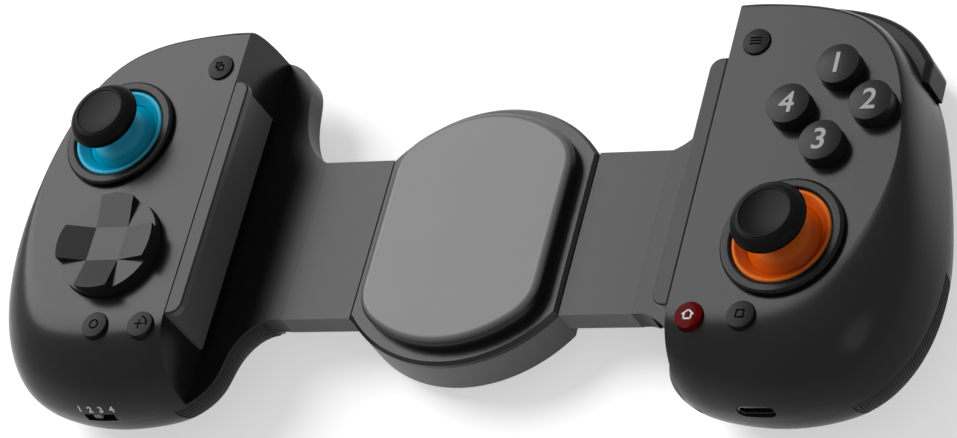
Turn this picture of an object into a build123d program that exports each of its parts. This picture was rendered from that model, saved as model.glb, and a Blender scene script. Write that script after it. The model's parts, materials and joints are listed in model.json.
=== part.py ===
from build123d import *
import os
from math import acos, atan2, cos, degrees, pi, radians, sin, sqrt, tan

# A telescopic game controller that clamps a phone between two grips.
# Millimetres. +X is to the player's right, +Y away from the player, +Z out of the face.
# The model is drawn about the middle of the centre body, with z = 0 at the top of the arms,
# and moved to its base at the end. Everything in a grip is drawn on the right-hand side,
# and the left grip's pieces are mirrored.

# Overall sizes
closed_gap = 134.2
grip_width = 55.7
grip_length = 101.5
front_reach = 49.7
face_height = 19.0
palm_depth = 16.0
stretch = 20.0

# Walls, gaps and cuts
wall = 1.8
rear_wall = 2.4
seat_gap = 0.05
slide_gap = 0.15
swing_gap = 0.3
pin_gap = 0.05
overrun = 30.0

# Grip outlines as shares of the grip's width and length, from the seam with the arm,
# round the near side, the outer side and the far side, back to the seam
rim_shares = (
    (-0.355, 0.272), (-0.232, 0.257), (-0.145, 0.194), (-0.110, 0.113), (0.000, 0.043),
    (0.178, 0.011), (0.393, 0.000), (0.609, 0.015), (0.788, 0.056), (0.914, 0.137),
    (0.986, 0.253), (0.998, 0.381), (0.955, 0.529), (0.878, 0.697), (0.779, 0.839),
    (0.636, 0.931), (0.429, 0.980), (0.196, 0.998), (-0.020, 0.998), (-0.135, 0.953),
    (-0.176, 0.869), (-0.224, 0.779), (-0.355, 0.707),
)
face_shares = (
    (-0.199, 0.182), (-0.145, 0.182), (-0.092, 0.182), (-0.047, 0.182), (0.016, 0.182),
    (0.160, 0.178), (0.330, 0.179), (0.492, 0.191), (0.627, 0.228), (0.725, 0.295),
    (0.797, 0.383), (0.842, 0.475), (0.856, 0.568), (0.815, 0.711), (0.716, 0.839),
    (0.582, 0.908), (0.402, 0.946), (0.196, 0.963), (-0.002, 0.966), (-0.074, 0.966),
    (-0.127, 0.966), (-0.163, 0.966), (-0.199, 0.966),
)
palm_shares = (
    (0.088, 0.342), (0.099, 0.293), (0.117, 0.243), (0.156, 0.196), (0.232, 0.162),
    (0.330, 0.148), (0.429, 0.147), (0.537, 0.160), (0.636, 0.189), (0.713, 0.243),
    (0.756, 0.317), (0.767, 0.406), (0.749, 0.509), (0.698, 0.623), (0.618, 0.721),
    (0.510, 0.790), (0.375, 0.833), (0.250, 0.847), (0.160, 0.833), (0.120, 0.793),
    (0.102, 0.746), (0.092, 0.697), (0.088, 0.637),
)
# Quarter turn of the grip's rounded side, in degrees from the parting line
section_angles = (0, 18, 36, 54, 70, 81, 90)

# Places on a grip, as shares of its width and length
left_stick_shares = (0.518, 0.688)
right_stick_shares = (0.446, 0.347)
dpad_shares = (0.366, 0.362)
tabs_shares = (0.098, 0.871)
macro_shares = (0.334, 0.154)
plus_shares = (0.099, 0.154)
menu_shares = (0.115, 0.867)
home_shares = (0.110, 0.155)
mode_shares = (0.339, 0.155)
cluster_shares = (0.537, 0.677)
boss_shares = ((0.142, 0.726), (0.591, 0.145), (0.716, 0.509), (0.106, 0.263))
usb_shares = (0.345, 0.008)
switch_shares = (0.399, 0.002)

# Centre body
hub_radius = 35.4
hub_half_width = 27.95
hub_proud = 0.9
hub_depth = 10.3
hub_wall = 2.0
hub_floor = 1.6
lid_thickness = 1.9
lid_chamfer = 0.8
pad_radius = 31.9
pad_half_width = 24.4
pad_height = 4.2
pad_corner = 12.0
pad_edge = 2.0

# Arms
arm_half_width = 22.1
arm_thickness = 6.9
arm_edge = 1.0
tongue_half_width = 18.5
tongue_top = 1.2
tongue_thickness = 4.0
tongue_inner_end = 2.0
flare_reach = 19.8
insert_length = 14.0
rail_ledge = 3.0
rail_thickness = 1.5

# Rack and pinion
gear_module = 1.0
pinion_teeth = 12
pressure_angle = 20
tooth_addendum = 0.6
tooth_dedendum = 0.9
flank_gap = 0.07
gear_height = 2.4
gear_clearance = 0.3
rack_back = 2.2
rack_spare = 4.0
rack_root = 5.5
pinion_pin_radius = 1.5
pin_seat = 0.8

# Return springs and their posts
coil_radius = 1.15
coil_wire = 0.25
coil_turns = 12
spring_offset = 12.6
post_radius = 1.0
hub_post_reach = 22.0
arm_post_reach = 3.9

# Centre screws
centre_screw_x = 10.0
centre_screw_y = 27.5
centre_boss_radius = 3.2
centre_boss_split = 4.6
centre_screw_radius = 1.0
centre_head_radius = 1.9
centre_head_height = 1.2

# Phone jaw
jaw_overhang = 4.3
jaw_front = 31.0
jaw_rear = 34.6
jaw_lip = 2.1
jaw_pad_proud = 1.0
jaw_pad_sunk = 0.8
jaw_foot = 1.5
jaw_corner = 3.0
jaw_edge = 0.5

# Circuit boards
board_top = 6.0
board_thickness = 1.6
board_inset = 5.0
tact_size = 3.6
tact_height = 1.6
jack_height = 3.1
jack_depth = 3.4

# Grip screws and bosses
boss_radius = 3.1
boss_pin_radius = 2.0
boss_pin_drop = 6.7
sleeve_radius = 3.6
screw_seat = 9.2
screw_radius = 1.2
screw_reach = 10.0
screw_head_radius = 2.4
screw_head_height = 1.5
arm_screw_inset = 6.5
arm_screw_spread = 12.0
arm_screw_radius = 1.0
arm_head_radius = 1.9
arm_head_height = 0.8
arm_screw_reach = 2.6

# Thumbsticks
bezel_outer = 14.9
bezel_inner = 12.0
bezel_proud = 1.7
bezel_sunk = 0.6
ring_lip_inner = 10.9
ring_lip_drop = 0.45
ring_proud = 1.5
ring_throat_drop = 0.5
ring_flange_inner = 11.75
ring_flange = 13.4
ring_flange_thickness = 0.9
dome_gap = 0.25
pivot_rise = 3.5
stick_tilt = 18
click_travel = 0.5
dome_radius = 12.6
dome_thickness = 1.0
dome_cover = 1.0
neck_radius = 4.2
cap_radius = 9.0
cap_rise = 11.4
cap_height = 5.0
cap_socket_share = 0.56
cap_dish_shares = ((0.0, 0.86), (0.33, 0.888), (0.656, 0.965))
cap_lip_shares = ((0.656, 0.965), (0.694, 1.0), (0.733, 0.965))
cap_side_shares = (
    (0.733, 0.965), (0.9, 0.81), (1.0, 0.53), (0.955, 0.27), (0.78, 0.1), (0.467, 0.0),
)
stem_radius = 2.0
module_half = 7.5
module_wall = 1.0
module_corner = 1.6
module_height = 4.6
module_base = 0.4
gimbal_half_x = 5.8
gimbal_half_y = 4.5
gimbal_bar = 1.3
gimbal_half_height = 1.3
pivot_pin_radius = 0.6
hub_half = 2.5

# Direction pad
dpad_radius = 13.35
dpad_arm_half = 4.6
dpad_flat_rise = 3.0
dpad_arm_rise = 5.0
dpad_flange_radius = 14.2
dpad_flange_thickness = 1.2
dpad_tilt = 3.5
ball_radius = 2.1
ball_height = 16.4
dpad_post_radius = 2.6
plunger_radius = 2.1
plunger_offset = 9.0
plunger_end = 9.5

# Face buttons
cluster_reach = 10.1
button_radius = 5.2
button_rise = 4.0
button_crown = 0.5
button_travel = 1.2
button_flange = 1.0
button_flange_thickness = 1.2
button_stem_radius = 3.0
membrane_thickness = 1.0
collar_height = 2.4
collar_thickness = 0.9
collar_gap = 0.8
membrane_half = 12.5
membrane_corner = 4.0

# Small round buttons
mini_radius = 3.35
mini_rise = 0.8
mini_crown = 0.25
mini_travel = 0.5
mini_flange = 0.5
mini_flange_drop = 1.8
mini_sleeve = 0.9
mini_stem_radius = 1.5

# Shoulder buttons
pocket_depth = 6.0
pocket_start = 4.4
pocket_tip = 31.0
pocket_top = 9.2
pocket_floor = 0.9
bumper_depth = 2.7
bumper_proud = 3.5
bumper_end = 45.9
bumper_round = 1.6
bumper_tip_round = 2.2
bumper_travel = 1.4
bumper_pin_inset = 4.0
bumper_pin_back = 3.6
bumper_ear = 1.9
shoulder_pin_radius = 1.0
shoulder_pin_seat = 1.4
trigger_x = 24.4
trigger_y = 41.0
trigger_turn = 14
trigger_half = 13.3
trigger_pivot_drop = 4.6
trigger_barrel = 2.6
trigger_top = 1.4
trigger_bottom = 12.0
trigger_reach = 15.0
trigger_tip_reach = 8.6
trigger_back = 4.2
trigger_side_shares = ((0.86, 0.0), (1.0, 0.28), (0.84, 1.0), (0.62, 1.0), (0.36, 0.66))

# Mode switch
switch_slot = 8.7
switch_slot_height = 2.8
switch_knob = 2.4
switch_knob_height = 1.9
switch_knob_proud = 0.3
switch_knob_round = 0.85
switch_plate = 6.6
switch_plate_thickness = 0.9
switch_step = 2.0

# Charging socket
usb_width = 8.94
usb_height = 3.2
usb_length = 7.3
usb_shell = 0.3
usb_tongue = 0.7
usb_tongue_width = 6.7
usb_lip = 0.28

# Battery and grip patches
battery_width = 23.5
battery_length = 46.0
battery_height = 5.2
battery_inset = 11.6
battery_front = 28.0
patch_depth = 1.2
patch_recess = 0.25
patch_top = 1.0
patch_bottom = 11.0
patch_shares = (((-0.27, 0.06), (-0.05, 0.30)), ((0.72, 1.05), (0.0, 0.37)))

# Places worked out from the sizes above
inner_x = closed_gap / 2
seam_x = inner_x - flare_reach
lid_bottom = hub_proud - lid_thickness
hub_inside_floor = hub_floor - hub_depth
tongue_bottom = -tongue_top - tongue_thickness
gear_top = tongue_bottom - gear_clearance
pitch_radius = gear_module * pinion_teeth / 2
face_under = face_height - wall
lip_under = face_height - jaw_lip
board_bottom = board_top - board_thickness
pivot_z = board_top + pivot_rise
usb_z = board_bottom - usb_height / 2
seat_radius = dome_radius + dome_gap
throat_height = face_height - ring_throat_drop - pivot_z
ring_throat = sqrt(seat_radius ** 2 - throat_height ** 2)
throat_angle = degrees(atan2(ring_throat, throat_height))
dome_reach_angle = throat_angle + stick_tilt + dome_cover
dpad_flange_gap = dpad_flange_radius * sin(radians(dpad_tilt)) * sqrt(2) + slide_gap
stem_end = board_top + membrane_thickness + button_travel + swing_gap
mini_flange_top = face_under - mini_flange_drop


# Basic shapes

def block(x_span, y_span, z_span):
    """A box from a low and a high value along each axis."""
    spans = (x_span, y_span, z_span)
    middle = [(low + high) / 2 for low, high in spans]
    return Pos(*middle) * Box(*[high - low for low, high in spans])


def rod(place, radius, low, high):
    """An upright cylinder at a place, from a low to a high z."""
    return Pos(place[0], place[1], (low + high) / 2) * Cylinder(radius, high - low)


def tube(place, radius, bore, low, high):
    """An upright tube."""
    return rod(place, radius, low, high) - rod(place, bore, low, high)


def on_grip(shares):
    """A place on the grip from shares of its width and length."""
    return inner_x + shares[0] * grip_width, shares[1] * grip_length - front_reach


def moved_in(points, inset):
    """An outline moved inwards, square to its own line, and away from the seam."""
    last = len(points) - 1
    moved = []
    for index, (x, y) in enumerate(points):
        before = points[max(index - 1, 0)]
        after = points[min(index + 1, last)]
        along = Vector(after[0] - before[0], after[1] - before[1]).normalized()
        from_seam = inset if index in (0, last) else 0
        moved.append((x - along.Y * inset + from_seam, y + along.X * inset))
    return moved


rim = [on_grip(shares) for shares in rim_shares]
face_edge = [on_grip(shares) for shares in face_shares]
palm_edge = [on_grip(shares) for shares in palm_shares]


def outline(points, z=0):
    """A flat face inside a curve through the points, closed along the seam."""
    return Pos(0, 0, z) * make_face(Spline(*points) + Line(points[-1], points[0]))


def rounded_body(wide, narrow, height):
    """A solid from a wide outline at z = 0 to a narrow one, with an elliptic side."""
    sections = []
    for angle in section_angles:
        share = 1 - cos(radians(angle))
        points = []
        for (wide_x, wide_y), (narrow_x, narrow_y) in zip(wide, narrow):
            points.append((wide_x + (narrow_x - wide_x) * share, wide_y + (narrow_y - wide_y) * share))
        sections.append(outline(points, height * sin(radians(angle))))
    return loft(sections)


def beyond(body, x):
    """The part of a body on the outer side of an upright plane."""
    return split(body, Plane.YZ.offset(x), Keep.TOP)


# Shoulder pocket, with the bumper over the trigger

far_x = inner_x + grip_width + overrun
far_y = grip_length + overrun


def shoulder_plan(depth, start, end, tip):
    """Plan of what lies outside the rim moved in by a depth, between straight ends."""
    edge = moved_in(rim, depth)[11:20]
    corners = [edge[-1], (edge[-1][0], far_y), (far_x, far_y), (far_x, edge[0][1]), edge[0]]
    outside = make_face(Spline(*edge) + Polyline(*corners))
    window = Pos((start + end) / 2, (tip + far_y) / 2) * Rectangle(end - start, far_y - tip)
    return outside & window


def bumper_pocket(growth):
    """The room for the bumper, grown on every side that meets the grip."""
    start = inner_x + pocket_start - growth
    plan = shoulder_plan(pocket_depth + growth, start, far_x, pocket_tip - growth)
    low = -pocket_floor - growth
    return Pos(0, 0, low) * extrude(plan, pocket_top + growth - low)


trigger_frame = Pos(inner_x + trigger_x, trigger_y, 0) * Rot(0, 0, -trigger_turn)
pocket_half = trigger_half + swing_gap


def trigger_pocket(growth):
    """The room for the trigger, open towards the far side and downwards."""
    half = pocket_half + growth
    room = block((-half, half), (-trigger_back - growth, overrun), (-overrun, -pocket_floor))
    return trigger_frame * room


bumper_pin_place = (inner_x + pocket_start + bumper_pin_inset, rim[17][1] - bumper_pin_back)
bumper_bottom = swing_gap - pocket_floor
bumper_top = pocket_top - swing_gap


def bumper():
    """Shoulder button: a band that follows the rim, rounded along its upper edge."""
    start = inner_x + pocket_start + swing_gap
    tip = pocket_tip + sin(radians(bumper_travel)) * grip_width
    end = inner_x + bumper_end
    band = shoulder_plan(bumper_depth, start, end, tip)
    band -= shoulder_plan(-bumper_proud, start, end, tip)
    body = Pos(0, 0, bumper_bottom) * extrude(band, bumper_top - bumper_bottom)
    upright = body.edges().filter_by(Axis.Z).group_by(Axis.X)
    corners = [edges.sort_by(Axis.Y)[-1] for edges in (upright[0], upright[-1])]
    body = fillet(corners, bumper_tip_round)
    outer_top = body.faces().sort_by(Axis.Z)[-1].edges().sort_by(SortBy.LENGTH)[-1]
    body = fillet(outer_top, bumper_round)
    ear = rod(bumper_pin_place, bumper_ear, bumper_bottom, bumper_top)
    bridge_x = (bumper_pin_place[0] - bumper_ear, bumper_pin_place[0] + bumper_ear)
    bridge_y = (bumper_pin_place[1], bumper_pin_place[1] + bumper_pin_back - bumper_depth / 2)
    bridge = block(bridge_x, bridge_y, (bumper_bottom, bumper_top))
    bore = rod(bumper_pin_place, shoulder_pin_radius + pin_gap, -overrun, overrun)
    return body + ear + bridge - bore


def trigger():
    """Trigger: a curved lever on a barrel, turned to follow the grip's far corner."""
    middle_reach = trigger_reach - (trigger_reach - trigger_tip_reach) / 4
    reach_line = Spline((-trigger_half, trigger_reach), (0, middle_reach), (trigger_half, trigger_tip_reach))
    ends = [(trigger_half, trigger_tip_reach), (trigger_half, -trigger_barrel)]
    ends += [(-trigger_half, -trigger_barrel), (-trigger_half, trigger_reach)]
    plan = make_face(reach_line + Polyline(*ends))
    slab = Pos(0, 0, -trigger_bottom) * extrude(plan, trigger_bottom - trigger_top)
    height = trigger_bottom - trigger_top
    side = [(trigger_reach * out, -trigger_top - height * down) for out, down in trigger_side_shares]
    brow, nose, lip, heel, throat = side
    root = (0, -trigger_pivot_drop - trigger_barrel)
    top_back = (0, -trigger_top)
    shape = Spline(brow, nose, lip) + Line(lip, heel) + Spline(heel, throat, root)
    shape += Polyline(root, top_back, brow)
    lever = extrude(Plane.YZ * make_face(shape), trigger_half, both=True)
    barrel_place = Pos(0, 0, -trigger_pivot_drop) * Rot(0, 90, 0)
    barrel = barrel_place * Cylinder(trigger_barrel, 2 * trigger_half)
    bore = barrel_place * Cylinder(shoulder_pin_radius + pin_gap, 2 * overrun)
    return trigger_frame * ((slab & lever) + barrel - bore)


def shoulder_pins():
    """The upright pin of the bumper and the lying pin of the trigger."""
    low = -pocket_floor - shoulder_pin_seat
    upright = rod(bumper_pin_place, shoulder_pin_radius, low, pocket_top + shoulder_pin_seat)
    length = 2 * (pocket_half + shoulder_pin_seat)
    lying = Pos(0, 0, -trigger_pivot_drop) * Rot(0, 90, 0) * Cylinder(shoulder_pin_radius, length)
    return [upright, trigger_frame * lying]


def pin_holes():
    """The seats of both pins."""
    low = -pocket_floor - shoulder_pin_seat
    radius = shoulder_pin_radius + seat_gap
    upright = rod(bumper_pin_place, radius, low, pocket_top + shoulder_pin_seat)
    length = 2 * (pocket_half + shoulder_pin_seat)
    lying = Pos(0, 0, -trigger_pivot_drop) * Rot(0, 90, 0) * Cylinder(radius, length)
    return upright + trigger_frame * lying


# Grip casings

boss_places = [on_grip(shares) for shares in boss_shares]
slot_centre = on_grip(switch_shares)
usb_centre = on_grip(usb_shares)
wall_front = moved_in(rim, wall)
grip_upper = beyond(rounded_body(rim, face_edge, face_height), inner_x)
grip_lower = rounded_body(rim, palm_edge, -palm_depth)
patch_back = rounded_body(moved_in(rim, patch_depth), moved_in(palm_edge, patch_depth), -palm_depth)


def front_shell(minis, openings):
    """Upper casing: face, rounded side, wall towards the phone, bosses and button sleeves."""
    room = rounded_body(wall_front, moved_in(face_edge, wall), face_under)
    room = beyond(room, inner_x + wall) - bumper_pocket(wall)
    shell = grip_upper - room - bumper_pocket(0)
    for place in boss_places:
        boss = rod(place, boss_radius, board_top, face_height) & grip_upper
        pin = rod(place, boss_pin_radius, -boss_pin_drop, board_top)
        pilot = rod(place, screw_radius + seat_gap, -boss_pin_drop, screw_reach - screw_seat)
        shell += boss + pin - pilot
    for place in minis:
        shell += rod(place, mini_radius + mini_sleeve, mini_flange_top, face_under) & grip_upper
        shell -= rod(place, mini_radius + mini_flange + slide_gap, board_top, mini_flange_top)
    pad_low = (inner_x - overrun, inner_x + jaw_pad_sunk)
    shell -= block(pad_low, (-jaw_front, jaw_rear), (jaw_foot, lip_under))
    return shell - pin_holes() - openings


def rear_shell():
    """Lower casing: the palm, the flare with the arm's pocket, and four screw sleeves."""
    plate_edge = Pos(0, 0, -arm_thickness) * extrude(outline(rim), arm_thickness)
    plate = plate_edge & block((seam_x, inner_x), (-overrun * 2, overrun * 2), (-arm_thickness, 0))
    lower_edges = plate.faces().sort_by(Axis.Z)[0].edges().sort_by(Axis.X)[1:-1]
    body = grip_lower + fillet(lower_edges, arm_edge)
    room = rounded_body(moved_in(rim, rear_wall), moved_in(palm_edge, rear_wall), rear_wall - palm_depth)
    room = beyond(room, seam_x + insert_length + rear_wall) - block(
        (seam_x, inner_x + wall), (-overrun * 2, overrun * 2), (-rear_wall, 0)
    )
    body -= room - bumper_pocket(rear_wall) - trigger_pocket(rear_wall)
    body -= bumper_pocket(0) + trigger_pocket(0) + pin_holes()
    for place in boss_places:
        sleeve = rod(place, sleeve_radius, rear_wall - palm_depth, board_bottom)
        bore = rod(place, boss_pin_radius + slide_gap, -boss_pin_drop, board_bottom)
        shank = rod(place, screw_radius + slide_gap, -screw_seat, -boss_pin_drop)
        recess = rod(place, screw_head_radius + slide_gap, -palm_depth - overrun, -screw_seat)
        body = body + sleeve - bore - shank - recess
    pocket_y = (-tongue_half_width - seat_gap, tongue_half_width + seat_gap)
    pocket_z = (tongue_bottom - seat_gap, seat_gap - tongue_top)
    body -= block((seam_x - overrun, seam_x + insert_length), pocket_y, pocket_z)
    for place in arm_screw_places():
        body -= rod(place, arm_screw_radius + slide_gap, -arm_thickness, tongue_bottom)
        body -= rod(place, arm_head_radius + slide_gap, -overrun, arm_head_height - arm_thickness)
    for window in patch_windows():
        body -= window - patch_back
    return body


def arm_screw_places():
    """The two screws that hold the arm in the flare."""
    x = seam_x + arm_screw_inset
    return [(x, -arm_screw_spread), (x, arm_screw_spread)]


def patch_windows():
    """Blocks that frame the two side patches."""
    windows = []
    for (start, end), (near, far) in patch_shares:
        near_corner = on_grip((start, near))
        far_corner = on_grip((end, far))
        window_x = (near_corner[0], far_corner[0])
        window_y = (near_corner[1] - patch_depth, far_corner[1])
        windows.append(block(window_x, window_y, (-patch_bottom, -patch_top)))
    return windows


def grip_patches():
    """Two side patches of the lower casing, a little below its surface."""
    skin = rounded_body(moved_in(rim, patch_recess), moved_in(palm_edge, patch_recess), -palm_depth)
    return [(skin - patch_back) & window for window in patch_windows()]


def grip_screws():
    """Four casing screws and the two screws of the arm."""
    screws = []
    for place in boss_places:
        head = rod(place, screw_head_radius, -screw_seat - screw_head_height, -screw_seat)
        shank = rod(place, screw_radius, -screw_seat, screw_reach - screw_seat - seat_gap)
        screws.append(head + shank)
    for place in arm_screw_places():
        head_top = arm_head_height - arm_thickness
        head = rod(place, arm_head_radius, -arm_thickness, head_top)
        shank = rod(place, arm_screw_radius, head_top, head_top + arm_screw_reach)
        screws.append(head + shank)
    return screws


def clamp_jaw():
    """Soft L-shaped jaw: a lip over the phone's end and a pad down the wall."""
    lip_x = (inner_x - jaw_overhang, inner_x)
    span = (-jaw_front, jaw_rear)
    lip = block(lip_x, span, (lip_under, face_height))
    corners = lip.edges().filter_by(Axis.Z).sort_by(Axis.X)[:2]
    lip = fillet(corners, jaw_corner)
    lip = fillet(lip.faces().sort_by(Axis.Z)[-1].edges(), jaw_edge)
    pad = block((inner_x - jaw_pad_proud, inner_x + jaw_pad_sunk), span, (jaw_foot, lip_under))
    return lip + pad


# Circuit boards

def circuit_board(minis, jack):
    """A board that follows the grip, with one small switch under each mini button."""
    board = Pos(0, 0, board_bottom) * extrude(outline(moved_in(rim, board_inset)), board_thickness)
    board = beyond(board, inner_x + pocket_start - wall - swing_gap) - bumper_pocket(wall + swing_gap)
    for place in boss_places:
        board -= rod(place, boss_pin_radius + slide_gap, board_bottom, board_top)
    half = tact_size / 2
    for x, y in minis:
        board += block((x - half, x + half), (y - half, y + half), (board_top, board_top + tact_height))
    return board + jack


# Thumbsticks

def stick_bezel(place):
    """Raised black ring round the thumbstick."""
    ring = tube(place, bezel_outer, bezel_inner, face_height - bezel_sunk, face_height + bezel_proud)
    rims = ring.faces().sort_by(Axis.Z)[-1].edges()
    return fillet(rims, bezel_proud / 2)


def stick_ring(place):
    """Coloured ring: a rounded lip, a funnel down to the dome, a round seat and a flange below."""
    low = face_under
    top = face_height + ring_proud
    shoulder = top - ring_lip_drop
    outer = bezel_inner - seat_gap
    crown = (ring_lip_inner + outer) / 2
    throat = (ring_throat, pivot_z + throat_height)
    seat_foot = (sqrt(seat_radius ** 2 - (low - pivot_z) ** 2), low)
    seat_z = (throat[1] + low) / 2
    seat_middle = (sqrt(seat_radius ** 2 - (seat_z - pivot_z) ** 2), seat_z)
    section = Line(throat, (ring_lip_inner, shoulder))
    section += ThreePointArc((ring_lip_inner, shoulder), (crown, top), (outer, shoulder))
    section += Polyline(
        (outer, shoulder), (outer, low), (ring_flange, low), (ring_flange, low - ring_flange_thickness),
        (ring_flange_inner, low - ring_flange_thickness), (ring_flange_inner, low), seat_foot
    )
    section += ThreePointArc(seat_foot, seat_middle, throat)
    return Pos(place[0], place[1], 0) * revolve(Rot(90, 0, 0) * make_face(section), Axis.Z)


def stick_module(place):
    """Open housing of the thumbstick, with bores for the gimbal's pins."""
    low = board_top
    high = low + module_height
    size = 2 * module_half
    floor = Rectangle(size, size)
    floor = chamfer(floor.vertices(), module_corner)
    inside = chamfer(Rectangle(size - 2 * module_wall, size - 2 * module_wall).vertices(), module_corner)
    body = Pos(0, 0, low) * extrude(floor, module_height)
    body -= Pos(0, 0, low + module_base) * extrude(inside, module_height)
    bore = Pos(0, 0, pivot_z) * Rot(0, 90, 0) * Cylinder(pivot_pin_radius + pin_gap, 2 * size)
    cheek_x = module_half - module_wall
    for side in (-1, 1):
        x = sorted((side * cheek_x, side * module_half))
        body += block(x, (-gimbal_bar * 1.5, gimbal_bar * 1.5), (high, pivot_z + gimbal_half_height))
    return Pos(place[0], place[1], 0) * (body - bore)


def stick_gimbal(place):
    """Tilting frame with a pin at each end, and bores for the stem's cross pin."""
    z_span = (pivot_z - gimbal_half_height, pivot_z + gimbal_half_height)
    frame = block((-gimbal_half_x, gimbal_half_x), (-gimbal_half_y, gimbal_half_y), z_span)
    inner_half_x = gimbal_half_x - gimbal_bar
    inner_half_y = gimbal_half_y - gimbal_bar
    frame -= block((-inner_half_x, inner_half_x), (-inner_half_y, inner_half_y), (-overrun, overrun))
    for side in (-1, 1):
        length = module_half - inner_half_x
        middle = side * (module_half + inner_half_x) / 2
        frame += Pos(middle, 0, pivot_z) * Rot(0, 90, 0) * Cylinder(pivot_pin_radius, length)
    frame -= Pos(0, 0, pivot_z) * Rot(90, 0, 0) * Cylinder(pivot_pin_radius + pin_gap, 2 * overrun)
    return Pos(place[0], place[1], 0) * frame


def stick_stem(place):
    """Post of the thumbstick, with the cross pin at its foot."""
    top = face_height + cap_rise - cap_height * (1 - cap_socket_share)
    foot_z = (pivot_z - gimbal_half_height, pivot_z + hub_half)
    foot = block((-hub_half, hub_half), (-hub_half, hub_half), foot_z)
    post = rod((0, 0), stem_radius, pivot_z, top - click_travel - swing_gap)
    cross = Pos(0, 0, pivot_z) * Rot(90, 0, 0) * Cylinder(pivot_pin_radius, 2 * gimbal_half_y)
    return Pos(place[0], place[1], 0) * (foot + post + cross)


def stick_dome(place):
    """Coloured dome that turns about the pivot inside the ring, with a neck up to the cap."""
    inner = dome_radius - dome_thickness
    ball = Sphere(dome_radius)
    cut_z = dome_radius * cos(radians(dome_reach_angle))
    neck_top = face_height + cap_rise - cap_height - pivot_z
    neck = rod((0, 0), neck_radius, 0, neck_top)
    dome = ball + neck - block((-overrun, overrun), (-overrun, overrun), (-overrun, cut_z))
    dome -= Sphere(inner)
    dome -= rod((0, 0), stem_radius + slide_gap, 0, overrun)
    return Pos(place[0], place[1], pivot_z) * dome


def cap_points(shares):
    """Points of the cap's section from shares of its radius and height."""
    under = face_height + cap_rise - cap_height
    return [(cap_radius * out, under + cap_height * up) for out, up in shares]


def stick_cap(place):
    """Black thumb cap with a dished top and a flared skirt."""
    dish = cap_points(cap_dish_shares)
    side = cap_points(cap_side_shares)
    under = side[-1][1]
    section = ThreePointArc(*dish) + ThreePointArc(*cap_points(cap_lip_shares)) + Spline(*side)
    section += Polyline(side[-1], (0, under), dish[0])
    cap = revolve(Rot(90, 0, 0) * make_face(section), Axis.Z)
    socket = rod((0, 0), stem_radius + slide_gap, under, under + cap_height * cap_socket_share)
    return Pos(place[0], place[1], 0) * (cap - socket)


# Direction pad

dpad_place = on_grip(dpad_shares)


def dpad():
    """Rocking disc with a raised cross whose arms climb outwards from a flat middle."""
    flat = face_height + dpad_flat_rise
    low = face_under - dpad_flange_gap - dpad_flange_thickness
    body = rod((0, 0), dpad_radius, low, flat)
    body += rod((0, 0), dpad_flange_radius, low, low + dpad_flange_thickness)
    rise = dpad_arm_rise - dpad_flat_rise
    wedge = make_face(Polyline(
        (dpad_arm_half, flat), (dpad_radius, flat + rise), (dpad_radius, low + dpad_flange_thickness),
        (dpad_arm_half, low + dpad_flange_thickness), (dpad_arm_half, flat)
    ))
    arm = extrude(Rot(90, 0, 0) * wedge, dpad_arm_half, both=True)
    disc = rod((0, 0), dpad_radius, low, overrun)
    for turn in range(4):
        body += disc & (Rot(0, 0, turn * 90) * arm)
        angle = radians(turn * 90)
        place = (plunger_offset * cos(angle), plunger_offset * sin(angle))
        body += rod(place, plunger_radius, plunger_end, low)
    body -= Pos(0, 0, ball_height) * Sphere(ball_radius + pin_gap)
    body -= rod((0, 0), dpad_post_radius + 2 * swing_gap, low, ball_height - ball_radius / 2)
    return Pos(dpad_place[0], dpad_place[1], 0) * body


def dpad_ball():
    """Ball that the direction pad rocks on."""
    return Pos(dpad_place[0], dpad_place[1], ball_height) * Sphere(ball_radius)


def dpad_post():
    """Post on the board with a cup for the ball."""
    post = rod(dpad_place, dpad_post_radius, board_top, ball_height - ball_radius / 2 - swing_gap)
    return post - Pos(dpad_place[0], dpad_place[1], ball_height) * Sphere(ball_radius + pin_gap)


def collars(places, stem):
    """The domes of a membrane, each open round a stem."""
    bore = stem + collar_gap
    low = board_top + membrane_thickness
    return [tube(place, bore + collar_thickness, bore, low, low + collar_height) for place in places]


def dpad_membrane():
    """Soft sheet with a dome under each arm of the direction pad."""
    x, y = dpad_place
    angles = [radians(turn * 90) for turn in range(4)]
    places = [(x + plunger_offset * cos(angle), y + plunger_offset * sin(angle)) for angle in angles]
    top = board_top + membrane_thickness
    sheet = tube(dpad_place, dpad_radius, dpad_post_radius + slide_gap, board_top, top)
    return sheet + collars(places, plunger_radius)


# Face buttons

cluster_place = on_grip(cluster_shares)
button_turns = {"button_right": 0, "button_top": 90, "button_left": 180, "button_bottom": 270}


def button_place(name):
    """Centre of a face button."""
    angle = radians(button_turns[name])
    return cluster_place[0] + cluster_reach * cos(angle), cluster_place[1] + cluster_reach * sin(angle)


def round_button(place, radius, rise, crown, flange, stop, stem, end):
    """A button with a crowned top, a flange held down by a stop, and a stem."""
    top = face_height + rise
    flange_top = stop - slide_gap
    cap = rod((0, 0), radius, flange_top, top - crown)
    lid = ThreePointArc((0, top), (radius / 2, top - crown / 4), (radius, top - crown))
    lid += Polyline((radius, top - crown), (0, top - crown), (0, top))
    cap += revolve(Rot(90, 0, 0) * make_face(lid), Axis.Z)
    cap += rod((0, 0), radius + flange, flange_top - button_flange_thickness, flange_top)
    cap += rod((0, 0), stem, end, flange_top)
    return Pos(place[0], place[1], 0) * cap


def face_button(name):
    """One of the four large round buttons."""
    place = button_place(name)
    return round_button(
        place, button_radius, button_rise, button_crown, button_flange, face_under,
        button_stem_radius, stem_end
    )


def mini_button(place):
    """A small round button."""
    end = board_top + tact_height + mini_travel + slide_gap
    return round_button(
        place, mini_radius, mini_rise, mini_crown, mini_flange, mini_flange_top, mini_stem_radius, end
    )


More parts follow.
